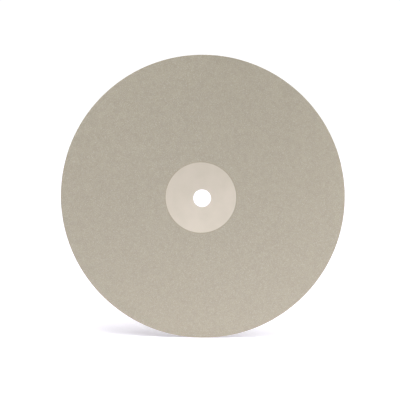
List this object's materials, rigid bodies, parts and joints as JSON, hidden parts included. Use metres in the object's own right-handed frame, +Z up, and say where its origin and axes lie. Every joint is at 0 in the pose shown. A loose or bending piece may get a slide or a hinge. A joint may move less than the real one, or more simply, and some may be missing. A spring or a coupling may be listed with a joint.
{
  "type": "diamond grinding wheel",
  "caption": "Thin round flat lap with a plated diamond grit face, a bare centre land and a central arbor bore.",
  "frame": {"origin": "on the axis of the arbor bore, in the plane of the back face that seats on the machine's flange", "axes": "+Y along the spin axis, out of the back face; the grinding face looks along -Y; +Z up across the face"},
  "size_m": [0.2032, 0.0012, 0.2032],
  "materials": {
    "core_steel": "ground",
    "bright_nickel": "satin plated",
    "land_nickel": "satin plated",
    "bond_nickel": "matte plated",
    "diamond_grain": "crystalline grit"
  },
  "bodies": {
    "root": {"steel_core": "core_steel", "nickel_plating_back": "bright_nickel", "nickel_plating_front": "land_nickel", "nickel_bond": "bond_nickel", "diamond_grit": "diamond_grain"}
  },
  "joints": []
}
